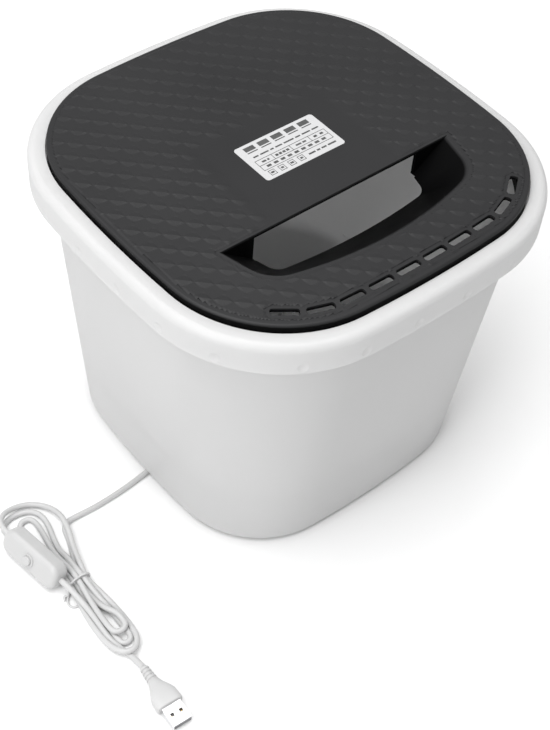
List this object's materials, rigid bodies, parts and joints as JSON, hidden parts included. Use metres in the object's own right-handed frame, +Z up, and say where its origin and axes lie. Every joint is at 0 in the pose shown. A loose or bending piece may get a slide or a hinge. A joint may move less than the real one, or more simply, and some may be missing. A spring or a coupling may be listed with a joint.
{
  "type": "portable turbine washing bucket",
  "caption": "Square white bucket with a dark lift-off lid, hand-hold and vents, a motor-driven impeller in its floor and a tied USB lead with an in-line push switch.",
  "frame": {"origin": "centre of the underside, on the floor under the four rubber feet, below the drive shaft", "axes": "+Z up along the drive shaft; the hand-hold and the vents of the lid are towards -Y; the lead leaves under the -X side"},
  "size_m": [0.3365, 0.2886, 0.2125],
  "materials": {
    "white_plastic": "smooth moulded polypropylene, slightly glossy",
    "dark_plastic": "satin, embossed basket weave on the top",
    "label": "printed film",
    "rubber": "soft matte",
    "steel": "zinc-plated or stainless",
    "bronze": "sintered bronze",
    "magnet": "sintered ferrite",
    "copper": "bare metal",
    "board": "glass-epoxy board",
    "black_part": "moulded",
    "cord_pvc": "soft PVC jacket",
    "grey_plastic": "moulded"
  },
  "bodies": {
    "root": {"tub": "white_plastic", "base_cover": "white_plastic", "motor_mount": "white_plastic", "switch_cover": "white_plastic", "switch_base": "white_plastic", "plug_boot": "white_plastic", "cord_gland": "white_plastic", "shaft_seal": "rubber", "switch_dome": "rubber", "rubber_foot_1": "rubber", "rubber_foot_2": "rubber", "rubber_foot_3": "rubber", "rubber_foot_4": "rubber", "motor_can": "steel", "plug_shell": "steel", "cover_screw_1": "steel", "cover_screw_2": "steel", "cover_screw_3": "steel", "cover_screw_4": "steel", "mount_screw_1": "steel", "mount_screw_2": "steel", "mount_screw_3": "steel", "mount_screw_4": "steel", "upper_bush": "bronze", "lower_bush": "bronze", "motor_magnet_1": "magnet", "motor_magnet_2": "magnet", "switch_contact_1": "copper", "switch_contact_2": "copper", "plug_contact_1": "copper", "plug_contact_2": "copper", "plug_contact_3": "copper", "plug_contact_4": "copper", "control_board": "board", "timer_chip": "black_part", "board_capacitor": "black_part", "motor_end_cap": "black_part", "board_terminal": "grey_plastic", "plug_tongue": "grey_plastic", "cord_lead": "cord_pvc", "cord_hank": "cord_pvc", "cord_plug_lead": "cord_pvc", "wire_tie": "cord_pvc"},
    "lid_body": {"lid": "dark_plastic", "rating_label": "label"},
    "rotor": {"drive_shaft": "steel", "armature": "steel", "commutator": "copper", "impeller": "white_plastic", "impeller_nut": "white_plastic"},
    "button": {"switch_button": "white_plastic"}
  },
  "joints": [
    {"name": "lid_lift", "type": "slide", "parent": "root", "child": "lid_body", "axis": [0, 0, 1], "range_m": [0, 0.12]},
    {"name": "impeller_spin", "type": "hinge", "parent": "root", "child": "rotor", "pos_m": [0, 0, 0], "axis": [0, 0, 1], "continuous": true},
    {"name": "switch_press", "type": "slide", "parent": "root", "child": "button", "axis": [0.8961, 0.1359, -0.4226], "range_m": [0, 0.0012], "stiffness_N_per_m": 400}
  ]
}
